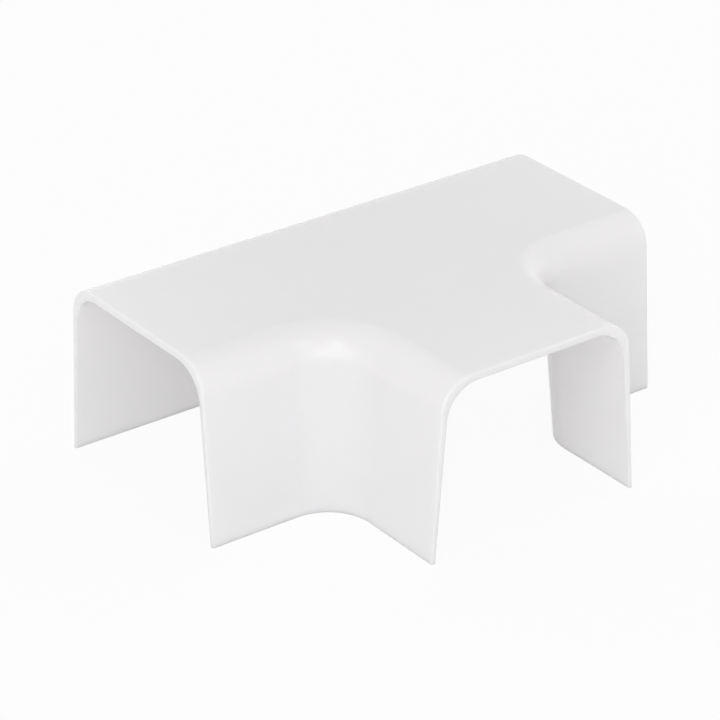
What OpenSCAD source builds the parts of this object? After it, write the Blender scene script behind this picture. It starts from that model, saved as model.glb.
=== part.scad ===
// Flat tee cover for surface trunking, moulded in one piece and open underneath.
// Three equal arms meet at the origin: two along the run (X) and one branch (towards -Y).
// The rims of the walls stand on the plane z = 0.

/* [Arms] */
// Distance from the centre of the tee to each mouth
reach = 40; // [34:0.5:60]
// Height of the cover from its rims to its flat top
height = 27.8; // [20:0.2:40]
// Width of an arm where its walls would meet the top in a sharp edge
top_width = 32.8; // [26:0.1:38]
// Lean of the walls, in degrees, which makes an arm wider at its rims
draft = 3.8; // [1:0.1:6]

/* [Walls] */
// Thickness of the flat top, and of the walls where they meet it
top_t = 1.15; // [0.8:0.05:2]
// Thickness of the walls at their rims
rim_t = 0.65; // [0.5:0.05:1.5]

/* [Rounding] */
// Outer radius along every edge between the top and a wall
edge_r = 4.85; // [3:0.05:7]
// Inner radius along the same edges
inner_r = 5.3; // [3:0.05:8]
// Outer radius, at the rims, of the two upright corners where the branch leaves the run
turn_r = 7.2; // [3:0.1:9]
// Radius that softens the outer edge of each mouth
soft_r = 0.3; // [0.1:0.05:0.5]

/* [Hidden] */
$fn = 96;

// Quarter turn, in degrees
quarter = 90;
// How far a cutting shape passes the surface that it cuts
past = 2;
// Sizes that neighbouring pieces share are rounded to this, so that their faces meet exactly
grain = 0.001;
// How far a leg's face starts inside the round that it leaves, so that the two cross cleanly
tuck = 0.00002;
// How far the round of a softened edge stands past the faces that it joins, for the same reason
nick = 0.0005;
// How far the cut along a leg runs on into the cut round the top edge
lap = 0.1;

function shared(size) = round(size / grain) * grain;

// Half of an arm's outer width at its rims
rim_half = top_width / 2 + height * tan(draft);
// Middle of the outer round: its height, and its distance from the middle of the arm
edge_z = height - edge_r;
edge_at = shared(top_width / 2 - edge_r * (1 - sin(draft)) / cos(draft));
// Lean of a wall's inner face, which is more than the outer face's because the wall thins downwards
inner_draft = atan(tan(draft) + (top_t / cos(draft) - rim_t) / height);
// Middle of the inner round, which is also where a wall's section meets the flat top
inner_z = height - top_t - inner_r;
inner_at = shared(rim_half - rim_t - inner_z * tan(inner_draft) - inner_r / cos(inner_draft));
// Distance of an upright corner's axis from the middle of each arm
turn_at = shared(rim_half + turn_r);
// Straight length of an arm beyond its upright corner
arm = reach - turn_at;

// Round of radius r with a leg of the same width that leaves it at the angle lean.
// The middle of the round is at [0, 0], and the leg runs down and outwards.
module rounded_leg(r, lean) {
    circle(r);
    rotate(lean) translate([-r, -height]) square([2 * r - tuck, height]);
}

// Section of one wall with its rounded top edge.
// X is the distance from the middle of the arm and Y the height above the rims.
module wall_section()
    intersection() {
        difference() {
            union() {
                translate([edge_at, edge_z]) rounded_leg(edge_r, draft);
                square([edge_at, height]);
            }
            translate([inner_at, inner_z]) rounded_leg(inner_r, inner_draft);
        }
        translate([inner_at, 0]) square([rim_half, height + past]);
    }

// Wall along +X from x = 0, with its outer face towards +Y
module straight_wall(length)
    rotate([quarter, 0, quarter]) linear_extrude(length) wall_section();

// The same wall turned through a quarter circle about the axis of an upright corner
module turning_wall()
    rotate_extrude(angle = quarter) translate([turn_at, 0]) mirror([1, 0]) wall_section();

// Outline of the flat top: the two arms and the ground between them, less the two round corners
module top_outline()
    difference() {
        polygon([
            [-reach, inner_at], [-reach, -inner_at], [-turn_at, -inner_at], [-turn_at, -turn_at],
            [-inner_at, -turn_at], [-inner_at, -reach], [inner_at, -reach], [inner_at, -turn_at],
            [turn_at, -turn_at], [turn_at, -inner_at], [reach, -inner_at], [reach, inner_at]
        ]);
        for (side = [-1, 1])
            translate([side * turn_at, -turn_at]) circle(turn_at - inner_at);
    }

// One side of the tee: the run's front wall, the upright corner and the branch's side wall
module right_side() {
    translate([turn_at, 0, 0]) mirror([0, 1, 0]) straight_wall(arm);
    translate([turn_at, -turn_at, 0]) rotate(quarter) turning_wall();
    translate([0, -turn_at, 0]) rotate(-quarter) straight_wall(arm);
}

// Section of what is cut away from a sharp mouth edge, to leave it round.
// X is the distance from the middle of the outer round and Y the depth into the mouth.
module soft_waste()
    difference() {
        translate([edge_r - soft_r, -past]) square([soft_r + past, soft_r + past]);
        translate([edge_r - soft_r + nick, soft_r - nick]) circle(soft_r);
    }

// That section swept up one wall, round the top edge and across to the middle of the arm
module soft_sweep() {
    rotate(draft)
        translate([-tuck, lap, 0])
            rotate([quarter, 0, 0]) linear_extrude(height + lap) soft_waste();
    rotate_extrude(start = draft, angle = quarter - draft) soft_waste();
    rotate([quarter, 0, quarter]) translate([0, 0, -edge_at]) linear_extrude(edge_at) soft_waste();
}

// Both halves of the sweep, at the mouth of an arm that lies along +X
module soft_mouth()
    for (side = [0, 1])
        mirror([0, side, 0])
            translate([reach, 0, 0])
                rotate([quarter, 0, -quarter])
                    translate([edge_at, edge_z, 0]) soft_sweep();

module tee_cover()
    color("whitesmoke")
        difference() {
            union() {
                translate([0, 0, height - top_t]) linear_extrude(top_t) top_outline();
                translate([-reach, 0, 0]) straight_wall(2 * reach);
                right_side();
                mirror([1, 0, 0]) right_side();
            }
            for (turn = [0, -1, -2])
                rotate(turn * quarter) soft_mouth();
        }

tee_cover();
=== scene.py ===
"""Dresses a flat tee cover for surface trunking and sets up the studio that it is shown in.

The cover is one thin shell, moulded in white plastic and open underneath. It is modelled
as an outer and an inner skin, which are joined round the rims and mouths. Every sharp edge
is then softened, and the shell gets the satin finish of a polished mould.
"""

import logging
import math
from dataclasses import dataclass
from enum import Enum
from typing import Any, Callable

import bmesh
import bpy
from mathutils import Matrix, Vector


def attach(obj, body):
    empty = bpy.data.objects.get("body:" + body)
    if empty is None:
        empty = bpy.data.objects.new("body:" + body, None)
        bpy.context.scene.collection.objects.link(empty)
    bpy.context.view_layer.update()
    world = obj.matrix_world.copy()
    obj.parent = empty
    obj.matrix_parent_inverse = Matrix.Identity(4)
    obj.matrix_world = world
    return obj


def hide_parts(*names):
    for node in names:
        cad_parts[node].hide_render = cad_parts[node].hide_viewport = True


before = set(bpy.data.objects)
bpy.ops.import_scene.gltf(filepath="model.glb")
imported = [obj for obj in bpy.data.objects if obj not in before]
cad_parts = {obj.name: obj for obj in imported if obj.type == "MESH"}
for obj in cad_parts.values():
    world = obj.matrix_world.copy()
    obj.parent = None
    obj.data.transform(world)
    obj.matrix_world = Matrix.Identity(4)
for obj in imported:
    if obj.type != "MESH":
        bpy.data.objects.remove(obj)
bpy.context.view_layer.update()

log = logging.getLogger("tee_cover")

MM = 0.001
QUARTER = math.pi / 2
CLOSE = 0.002 * MM
ROOT_BODY = "root"
COVER_NODE = "tee_cover"
WHITE = (1, 1, 1, 1)
NOISE_MIDDLE = 0.5

# Places of the colour sockets on a Mix node, where the number sockets have the same names
FIRST_COLOUR = 6
SECOND_COLOUR = 7
MIXED_COLOUR = 2

Test = Callable[[Vector], bool]
Triple = tuple[float, float, float]


def near(value: float, target: float) -> bool:
    """Tells whether a coordinate lies on a plane, within two thousandths of a millimetre."""
    return abs(value - target) < CLOSE


def direction(azimuth: float, elevation: float) -> Vector:
    """Works out the direction from the cover to a lamp or the camera.

    Args:
        azimuth: Angle round the cover in degrees, with 0 towards -Y and 90 towards +X.
        elevation: Angle above the ground, in degrees.

    Returns:
        The direction, of length one.
    """
    turn, rise = math.radians(azimuth), math.radians(elevation)
    return Vector(
        (math.sin(turn) * math.cos(rise), -math.cos(turn) * math.cos(rise), math.sin(rise))
    )


class Bench:
    """Edit-mode work on one mesh object, whose edges are picked by their place."""

    def __init__(self, obj: bpy.types.Object) -> None:
        """Puts a mesh object on the bench."""
        self.obj = obj

    @staticmethod
    def clear() -> None:
        """Leaves edit mode and deselects every object."""
        if bpy.context.object and bpy.context.object.mode != "OBJECT":
            bpy.ops.object.mode_set(mode="OBJECT")
        bpy.ops.object.select_all(action="DESELECT")

    def hold(self) -> None:
        """Makes the object the active one and the only selected one."""
        self.clear()
        self.obj.select_set(True)
        bpy.context.view_layer.objects.active = self.obj

    def open(self) -> None:
        """Holds the object and enters edit mode on its edges."""
        self.hold()
        bpy.ops.object.mode_set(mode="EDIT")
        bpy.ops.mesh.select_mode(type="EDGE")
        bpy.ops.mesh.select_all(action="DESELECT")

    def close(self) -> None:
        """Goes back to object mode with the object still active."""
        bpy.ops.object.mode_set(mode="OBJECT")

    def pick(self, wanted: Test) -> None:
        """Selects the edges whose two ends pass a test, and nothing else.

        Args:
            wanted: The test of a point, in metres.
        """
        mesh = bmesh.from_edit_mesh(self.obj.data)
        for face in mesh.faces:
            face.select_set(False)
        for edge in mesh.edges:
            edge.select_set(False)
        for edge in mesh.edges:
            if all(wanted(vertex.co) for vertex in edge.verts):
                edge.select_set(True)
        bmesh.update_edit_mesh(self.obj.data)

    def pull(self, wanted: Test, by: Triple) -> None:
        """Extrudes the edges that a test picks in a straight line, as far as given in metres."""
        self.pick(wanted)
        bpy.ops.mesh.extrude_region_move(TRANSFORM_OT_translate={"value": by})

    def sweep(self, wanted: Test, angle: float, centre: Triple, axis: Triple, steps: int) -> None:
        """Extrudes the edges that a test picks along an arc, turned by the right-hand rule."""
        self.pick(wanted)
        bpy.ops.mesh.spin(steps=steps, angle=-angle, center=centre, axis=axis)

    def modify(self, kind: str, **settings: Any) -> None:
        """Adds a modifier, sets it and applies it.

        Args:
            kind: The modifier's type.
            settings: Its properties.
        """
        self.hold()
        bpy.ops.object.modifier_add(type=kind)
        modifier = self.obj.modifiers[-1]
        for name, value in settings.items():
            setattr(modifier, name, value)
        bpy.ops.object.modifier_apply(modifier=modifier.name)

    def absorb(self, other: bpy.types.Object) -> None:
        """Joins another mesh object into this one.

        Args:
            other: The object to join.
        """
        self.hold()
        other.select_set(True)
        bpy.ops.object.join()


@dataclass(frozen=True)
class CoverSizes:
    """Real sizes of the cover, in millimetres and degrees."""

    reach: float = 40.0
    height: float = 27.8
    top_width: float = 32.8
    draft: float = 3.8
    top_thickness: float = 1.15
    rim_thickness: float = 0.65
    edge_radius: float = 4.85
    inner_radius: float = 5.3
    turn_radius: float = 7.2
    mouth_softening: float = 0.3
    edge_softening: float = 0.12

    @property
    def rim_half(self) -> float:
        """Half of an arm's outer width at its rims."""
        return self.top_width / 2 + self.height * math.tan(math.radians(self.draft))

    @property
    def turn_at(self) -> float:
        """Distance of an upright corner's axis from the middle of each arm."""
        return self.rim_half + self.turn_radius


@dataclass(frozen=True)
class Section:
    """Section of one skin of a wall: a leaning leg and the round above it, in metres and radians."""

    rim_at: float
    lean: float
    radius: float
    round_at: float
    round_z: float

    @property
    def leg_at(self) -> float:
        """Distance from the arm's middle at which the leg meets the round."""
        return self.round_at + self.radius * math.cos(self.lean)

    @property
    def leg_z(self) -> float:
        """Height at which the leg meets the round."""
        return self.round_z + self.radius * math.sin(self.lean)

    @property
    def top_z(self) -> float:
        """Height of the flat top."""
        return self.round_z + self.radius

    @property
    def roll(self) -> float:
        """Angle through which the round turns, in radians."""
        return QUARTER - self.lean


class Side(Enum):
    """The two long sides of the run, by the sign of their Y."""

    FRONT = -1
    BACK = 1


@dataclass(frozen=True)
class Skin:
    """One face of the shell, as an open surface: the outer face or the inner one."""

    name: str
    section: Section
    reach: float
    turn_at: float
    round_steps: int = 24
    turn_steps: int = 32

    def build(self) -> bpy.types.Object:
        """Models the half at +X, then mirrors it.

        Returns:
            The skin's object, with a vertex group of the skin's name.
        """
        bench = self._panel(Side.FRONT)
        self._roll_over(bench, Side.FRONT)
        self._turn_into_branch(bench)
        back = self._panel(Side.BACK)
        self._roll_over(back, Side.BACK)
        back.pull(lambda p: near(p.x, self.turn_at), (-self.turn_at, 0, 0))
        back.close()
        bench.absorb(back.obj)
        self._close_top(bench)
        bench.modify("MIRROR", use_mirror_merge=True, merge_threshold=CLOSE)
        obj = bench.obj
        obj.name = self.name
        group = obj.vertex_groups.new(name=self.name)
        group.add(range(len(obj.data.vertices)), 1.0, "REPLACE")
        return obj

    def _panel(self, side: Side) -> Bench:
        """Adds the flat part of a wall of the run, between the corner and the mouth.

        Args:
            side: The side of the run that it stands on.

        Returns:
            The bench that holds it.
        """
        Bench.clear()
        section = self.section
        y = side.value * section.rim_at
        length = self.reach - self.turn_at
        centre = (self.turn_at + length / 2, y, section.leg_z / 2)
        bpy.ops.mesh.primitive_plane_add(size=1, location=centre, rotation=(QUARTER, 0, 0))
        bpy.ops.object.transform_apply(location=True, rotation=True, scale=True)
        bench = Bench(bpy.context.object)
        bench.open()
        bpy.ops.mesh.select_all(action="SELECT")
        bpy.ops.transform.resize(value=(length, 1, section.leg_z), center_override=centre)
        bench.pick(lambda p: near(p.z, section.leg_z))
        lean_in = side.value * (section.leg_at - section.rim_at)
        bpy.ops.transform.translate(value=(0, lean_in, 0))
        bench.close()
        return bench

    def _roll_over(self, bench: Bench, side: Side) -> None:
        """Rolls the upper edge of a wall over to the flat top.

        Args:
            bench: The bench that holds the wall.
            side: The side of the run that the wall stands on.
        """
        section = self.section
        bench.open()
        bench.sweep(
            lambda p: near(p.z, section.leg_z),
            angle=section.roll,
            centre=(0, side.value * section.round_at, section.round_z),
            axis=(side.value, 0, 0),
            steps=self.round_steps,
        )

    def _turn_into_branch(self, bench: Bench) -> None:
        """Sweeps the wall's section round the upright corner and on along the branch.

        Args:
            bench: The bench that holds the front wall.
        """
        turn_at = self.turn_at
        bench.sweep(
            lambda p: near(p.x, turn_at),
            angle=QUARTER,
            centre=(turn_at, -turn_at, 0),
            axis=(0, 0, 1),
            steps=self.turn_steps,
        )
        bench.pull(lambda p: near(p.y, -turn_at), (0, turn_at - self.reach, 0))
        bench.close()

    def _close_top(self, bench: Bench) -> None:
        """Closes the flat top between the rounds, with a face for each arm and one between.

        Args:
            bench: The bench that holds the front and back walls.
        """
        at, top_z, turn_at = self.section.round_at, self.section.top_z, self.turn_at
        bench.open()
        bench.pull(
            lambda p: near(p.z, top_z) and near(p.y, -at) and p.x > turn_at - CLOSE,
            (0, 2 * at, 0),
        )
        bench.pull(
            lambda p: near(p.z, top_z) and near(p.x, at) and p.y < CLOSE - turn_at,
            (-at, 0, 0),
        )
        bpy.ops.mesh.select_all(action="SELECT")
        bpy.ops.mesh.remove_doubles(threshold=CLOSE)
        bench.pick(
            lambda p: near(p.z, top_z) and p.x < turn_at + CLOSE and p.y > -turn_at - CLOSE
        )
        bpy.ops.mesh.edge_face_add()
        bench.close()


class Value:
    """A shader socket that holds a number, with the arithmetic that the finishes use."""

    def __init__(self, graph: "Graph", socket: bpy.types.NodeSocket) -> None:
        """Wraps an output socket of a graph."""
        self.graph = graph
        self.socket = socket

    def _math(self, operation: str, first: Any, second: Any) -> "Value":
        """Adds a Math node on two inputs, each a number or a Value, and wraps its result."""
        node = self.graph.node("ShaderNodeMath", {"operation": operation}, {0: first, 1: second})
        return Value(self.graph, node.outputs[0])

    def __add__(self, other: Any) -> "Value":
        """Adds a number or a Value."""
        return self._math("ADD", self, other)

    def __radd__(self, other: Any) -> "Value":
        """Is added to a number."""
        return self._math("ADD", other, self)

    def __sub__(self, other: Any) -> "Value":
        """Takes a number or a Value away."""
        return self._math("SUBTRACT", self, other)

    def __rsub__(self, other: Any) -> "Value":
        """Is taken away from a number."""
        return self._math("SUBTRACT", other, self)

    def __mul__(self, other: Any) -> "Value":
        """Multiplies by a number or a Value."""
        return self._math("MULTIPLY", self, other)

    def __rmul__(self, other: Any) -> "Value":
        """Is multiplied by a number."""
        return self._math("MULTIPLY", other, self)


@dataclass(frozen=True)
class Pattern:
    """A noise over a surface: rough size of its blotches in metres, and its finer layers."""

    size: float
    detail: float


class Graph:
    """The node tree of one material or of the world."""

    def __init__(self, tree: bpy.types.NodeTree) -> None:
        """Empties a node tree and takes it over."""
        self.tree = tree
        tree.nodes.clear()

    def node(
        self,
        kind: str,
        settings: dict[str, Any] | None = None,
        inputs: dict[str | int, Any] | None = None,
    ) -> bpy.types.Node:
        """Adds a node.

        Args:
            kind: The node's type.
            settings: Its properties, which are set first.
            inputs: Its sockets by name or place: a value, a Value or an output socket.

        Returns:
            The node.
        """
        made = self.tree.nodes.new(kind)
        for name, value in (settings or {}).items():
            setattr(made, name, value)
        for key, value in (inputs or {}).items():
            if isinstance(value, Value):
                value = value.socket
            if isinstance(value, bpy.types.NodeSocket):
                self.tree.links.new(value, made.inputs[key])
            else:
                made.inputs[key].default_value = value
        return made

    def noise(self, place: bpy.types.NodeSocket, pattern: Pattern) -> Value:
        """Adds a noise from 0 to 1, whose blotches have a real size."""
        made = self.node(
            "ShaderNodeTexNoise",
            {},
            {"Vector": place, "Scale": 1 / pattern.size, "Detail": pattern.detail},
        )
        return Value(self, made.outputs["Fac"])

    def white_rays(self) -> Value:
        """Picks the rays that meet plain white: seen directly, in a gloss or through a clear part.

        Returns:
            One for those rays, and nought for the light that falls on a surface.
        """
        path = self.node("ShaderNodeLightPath")
        kinds = ("Is Camera Ray", "Is Glossy Ray", "Is Transmission Ray")
        camera, glossy, clear = (Value(self, path.outputs[kind]) for kind in kinds)
        capped = self.node("ShaderNodeClamp", {}, {"Value": camera + glossy + clear})
        return Value(self, capped.outputs[0])

    def blend(self, factor: Any, first: Any, second: Any) -> bpy.types.NodeSocket:
        """Mixes two colours, by the share of the second one."""
        mixed = self.node(
            "ShaderNodeMix",
            {"data_type": "RGBA"},
            {"Factor": factor, FIRST_COLOUR: first, SECOND_COLOUR: second},
        )
        return mixed.outputs[MIXED_COLOUR]


@dataclass(frozen=True)
class MouldedPlastic:
    """White plastic from a polished mould: even, satin, and very slightly uneven up close."""

    name: str = "white_moulded_plastic"
    colour: Triple = (0.92, 0.906, 0.913)
    shade: Triple = (0.905, 0.89, 0.897)
    ior: float = 1.5
    depth: float = 1.6 * MM
    depth_ratio: Triple = (1.0, 0.95, 0.9)
    roughness: float = 0.21
    roughness_spread: float = 0.06
    flow: Pattern = Pattern(14 * MM, detail=3.0)
    flow_tint: float = 0.6
    polish: Pattern = Pattern(0.9 * MM, detail=3.0)
    polish_tint: float = 0.2
    polish_share: float = 0.6
    grain: Pattern = Pattern(0.16 * MM, detail=2.0)
    ripple: Pattern = Pattern(9 * MM, detail=1.0)
    ripple_depth: float = 0.02 * MM
    grain_depth: float = 0.0012 * MM

    def material(self) -> bpy.types.Material:
        """Makes the material.

        Returns:
            The material, which reads Object coordinates.
        """
        made = bpy.data.materials.new(self.name)
        made.use_nodes = True
        graph = Graph(made.node_tree)
        place = graph.node("ShaderNodeTexCoord").outputs["Object"]
        flow = graph.noise(place, self.flow)
        polish = graph.noise(place, self.polish)
        grain = graph.noise(place, self.grain)
        ripple = graph.noise(place, self.ripple)
        tint = flow * self.flow_tint + polish * self.polish_tint
        colour = graph.blend(tint, (*self.colour, 1), (*self.shade, 1))
        blotches = polish * self.polish_share + flow * (1 - self.polish_share)
        uneven = (blotches - NOISE_MIDDLE) * self.roughness_spread
        height = ripple * self.ripple_depth + grain * self.grain_depth
        bump = graph.node(
            "ShaderNodeBump", {}, {"Strength": 1.0, "Distance": 1.0, "Height": height}
        )
        shader = graph.node(
            "ShaderNodeBsdfPrincipled",
            {},
            {
                "Base Color": colour,
                "Roughness": uneven + self.roughness,
                "IOR": self.ior,
                "Subsurface Weight": 1.0,
                "Subsurface Radius": self.depth_ratio,
                "Subsurface Scale": self.depth,
                "Normal": bump.outputs["Normal"],
            },
        )
        graph.node("ShaderNodeOutputMaterial", {}, {"Surface": shader.outputs["BSDF"]})
        return made


@dataclass(frozen=True)
class TeeCover:
    """The whole cover: one shell of plastic."""

    name: str = "moulded_cover"
    sizes: CoverSizes = CoverSizes()
    finish: MouldedPlastic = MouldedPlastic()
    soft_steps: int = 5
    fine_steps: int = 3
    sharp_angle: float = math.radians(50)
    flat_face_weight: int = 100

    def outer_section(self) -> Section:
        """Works out the section of the outer skin.

        Returns:
            The section, in metres.
        """
        sizes = self.sizes
        lean = math.radians(sizes.draft)
        inset = sizes.edge_radius * (1 - math.sin(lean)) / math.cos(lean)
        return Section(
            rim_at=sizes.rim_half * MM,
            lean=lean,
            radius=sizes.edge_radius * MM,
            round_at=(sizes.top_width / 2 - inset) * MM,
            round_z=(sizes.height - sizes.edge_radius) * MM,
        )

    def inner_section(self) -> Section:
        """Works out the section of the inner skin, which leans more as the wall thins.

        Returns:
            The section, in metres.
        """
        sizes = self.sizes
        draft = math.radians(sizes.draft)
        thinning = sizes.top_thickness / math.cos(draft) - sizes.rim_thickness
        lean = math.atan(math.tan(draft) + thinning / sizes.height)
        round_z = sizes.height - sizes.top_thickness - sizes.inner_radius
        rim_at = sizes.rim_half - sizes.rim_thickness
        round_at = rim_at - round_z * math.tan(lean) - sizes.inner_radius / math.cos(lean)
        return Section(
            rim_at=rim_at * MM,
            lean=lean,
            radius=sizes.inner_radius * MM,
            round_at=round_at * MM,
            round_z=round_z * MM,
        )

    def build(self) -> bpy.types.Object:
        """Models the shell and gives it its finish.

        Returns:
            The finished piece.
        """
        reach, turn_at = self.sizes.reach * MM, self.sizes.turn_at * MM
        outer = Skin("outer", self.outer_section(), reach, turn_at)
        inner = Skin("inner", self.inner_section(), reach, turn_at)
        cover = self._join_skins(outer.build(), inner.build())
        bench = Bench(cover)
        self._soften(bench, outer.name)
        bench.modify("WEIGHTED_NORMAL", keep_sharp=True, weight=self.flat_face_weight)
        cover.name = self.name
        cover.data.materials.clear()
        cover.data.materials.append(self.finish.material())
        cover.vertex_groups.clear()
        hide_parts(COVER_NODE)
        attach(cover, ROOT_BODY)
        return cover

    def _join_skins(
        self, outer: bpy.types.Object, inner: bpy.types.Object
    ) -> bpy.types.Object:
        """Joins the two skins into one closed shell, round the rims and mouths.

        Args:
            outer: The outer skin.
            inner: The inner skin.

        Returns:
            The shell, with its faces pointing out of the plastic.
        """
        bench = Bench(outer)
        bench.absorb(inner)
        bench.open()
        bpy.ops.mesh.select_non_manifold(
            use_wire=False, use_multi_face=False, use_non_contiguous=False, use_verts=False
        )
        bpy.ops.mesh.bridge_edge_loops()
        bpy.ops.mesh.select_all(action="SELECT")
        bpy.ops.mesh.normals_make_consistent(inside=False)
        bench.close()
        bpy.ops.object.shade_smooth()
        return outer

    def _soften(self, bench: Bench, outer_name: str) -> None:
        """Rounds the outer edge of each mouth, then every other sharp edge more finely.

        Args:
            bench: The bench that holds the shell.
            outer_name: Name of the outer skin's vertex group.
        """
        reach = self.sizes.reach * MM
        obj = bench.obj
        group = obj.vertex_groups[outer_name].index
        on_outer = {
            vertex.index
            for vertex in obj.data.vertices
            if any(g.group == group for g in vertex.groups)
        }
        bench.open()
        mesh = bmesh.from_edit_mesh(obj.data)
        for edge in mesh.edges:
            ends = [vertex.co for vertex in edge.verts]
            at_mouth = (
                all(near(abs(p.x), reach) for p in ends) or all(near(p.y, -reach) for p in ends)
            )
            if at_mouth and all(vertex.index in on_outer for vertex in edge.verts):
                edge.select_set(True)
        bmesh.update_edit_mesh(obj.data)
        bpy.ops.mesh.bevel(
            offset=self.sizes.mouth_softening * MM,
            segments=self.soft_steps,
            affect="EDGES",
            clamp_overlap=True,
        )
        bench.close()
        bench.modify(
            "BEVEL",
            width=self.sizes.edge_softening * MM,
            segments=self.fine_steps,
            limit_method="ANGLE",
            angle_limit=self.sharp_angle,
        )


@dataclass(frozen=True)
class PaperSweep:
    """The pale ground that the cover stands on."""

    name: str = "paper_sweep"
    width: float = 3.0
    below: float = 0.02 * MM
    colour: Triple = (0.95, 0.95, 0.948)
    fibre_colour: Triple = (0.96, 0.96, 0.958)
    bleach: float = 0.92
    fibres: Pattern = Pattern(1.2 * MM, detail=3.0)

    def build(self) -> None:
        """Lays the ground."""
        Bench.clear()
        bpy.ops.mesh.primitive_plane_add(size=self.width, location=(0, 0, -self.below))
        ground = bpy.context.object
        bpy.ops.object.transform_apply(location=True, rotation=True, scale=True)
        ground.name = self.name
        ground.data.materials.append(self._material())

    def _material(self) -> bpy.types.Material:
        """Makes matt paper that looks bleached, nearly to white, in sight and in gloss.

        Returns:
            The material.
        """
        made = bpy.data.materials.new(self.name)
        made.use_nodes = True
        graph = Graph(made.node_tree)
        place = graph.node("ShaderNodeTexCoord").outputs["Object"]
        fibres = graph.noise(place, self.fibres)
        colour = graph.blend(fibres, (*self.colour, 1), (*self.fibre_colour, 1))
        paper = graph.node("ShaderNodeBsdfDiffuse", {}, {"Color": colour})
        white = graph.node("ShaderNodeEmission", {}, {"Color": WHITE, "Strength": 1.0})
        mixed = graph.node(
            "ShaderNodeMixShader",
            {},
            {0: graph.white_rays() * self.bleach, 1: paper.outputs[0], 2: white.outputs[0]},
        )
        graph.node("ShaderNodeOutputMaterial", {}, {"Surface": mixed.outputs[0]})
        return made


@dataclass(frozen=True)
class Softbox:
    """A square studio lamp with a diffuser, aimed at the middle of the cover.

    Its angles are in degrees, and its size and distance in metres.
    """

    name: str
    azimuth: float
    elevation: float
    watts: float
    size: float = 0.8
    distance: float = 0.9
    aim: Triple = (0.0, -0.01, 0.014)

    def build(self) -> None:
        """Hangs the lamp."""
        away = direction(self.azimuth, self.elevation)
        lamp = bpy.data.lights.new(self.name, "AREA")
        lamp.shape = "SQUARE"
        lamp.size = self.size
        lamp.energy = self.watts
        obj = bpy.data.objects.new(self.name, lamp)
        bpy.context.scene.collection.objects.link(obj)
        obj.location = Vector(self.aim) + away * self.distance
        obj.rotation_euler = away.to_track_quat("Z", "Y").to_euler()


@dataclass(frozen=True)
class Viewpoint:
    """The camera, at the photograph's viewing angle.

    Its angles are in degrees, its lens and sensor in millimetres, and the rest in metres.
    """

    name: str = "studio_camera"
    azimuth: float = -36.341
    elevation: float = 27.634
    roll: float = -0.17
    distance: float = 490.64 * MM
    lens: float = 168.44
    sensor: float = 36.0
    nearest: float = 0.01
    farthest: float = 20.0
    aim: Triple = (-5.499 * MM, -6.090 * MM, 13.9 * MM)

    def build(self) -> None:
        """Sets up the camera and makes it the scene's."""
        turn, roll = math.radians(self.azimuth), math.radians(self.roll)
        back = direction(self.azimuth, self.elevation)
        level = Vector((math.cos(turn), math.sin(turn), 0))
        upright = back.cross(level)
        right = level * math.cos(roll) + upright * math.sin(roll)
        up = upright * math.cos(roll) - level * math.sin(roll)
        lens = bpy.data.cameras.new(self.name)
        lens.lens = self.lens
        lens.sensor_width = self.sensor
        lens.clip_start = self.nearest
        lens.clip_end = self.farthest
        camera = bpy.data.objects.new(self.name, lens)
        bpy.context.scene.collection.objects.link(camera)
        turned = Matrix((right, up, back)).transposed().to_4x4()
        camera.matrix_world = Matrix.Translation(Vector(self.aim) + back * self.distance) @ turned
        bpy.context.scene.camera = camera


@dataclass(frozen=True)
class Studio:
    """A white tent of light with a few softboxes, and the ground under the cover."""

    tent_level: float = 0.48
    sweep: PaperSweep = PaperSweep()
    viewpoint: Viewpoint = Viewpoint()
    lamps: tuple[Softbox, ...] = (
        Softbox("left_fill", azimuth=-62, elevation=8, watts=1.2),
        Softbox("front_fill", azimuth=-38, elevation=8, watts=3.2, size=1.1),
        Softbox("right_fill", azimuth=90, elevation=18, watts=3.0, size=1.4),
        Softbox("back_fill", azimuth=180, elevation=14, watts=0.9, size=0.9),
        Softbox("back_top", azimuth=-170, elevation=45, watts=0.9, size=0.9),
        Softbox("left_key", azimuth=-56, elevation=44, watts=0.6, size=0.27),
        Softbox("right_key", azimuth=6, elevation=41, watts=0.4, size=0.22),
    )

    def build(self) -> None:
        """Puts up the tent, the ground, the lamps and the camera."""
        self._tent()
        self.sweep.build()
        for lamp in self.lamps:
            lamp.build()
            log.info("lamp %s: %.2f W", lamp.name, lamp.watts)
        self.viewpoint.build()
        bpy.context.scene.view_settings.view_transform = "Standard"

    def _tent(self) -> None:
        """Lights the scene evenly from all sides, with white behind it for sight and gloss."""
        world = bpy.data.worlds.new("tent")
        bpy.context.scene.world = world
        world.use_nodes = True
        graph = Graph(world.node_tree)
        level = graph.white_rays() * (1 - self.tent_level) + self.tent_level
        white = graph.node("ShaderNodeBackground", {}, {"Color": WHITE, "Strength": level})
        graph.node("ShaderNodeOutputWorld", {}, {"Surface": white.outputs[0]})


def main() -> None:
    """Builds the cover and the studio round it."""
    logging.basicConfig(level=logging.INFO, format="%(message)s")
    cover = TeeCover().build()
    log.info("%s: %d faces", cover.name, len(cover.data.polygons))
    Studio().build()


if __name__ == "__main__":
    main()
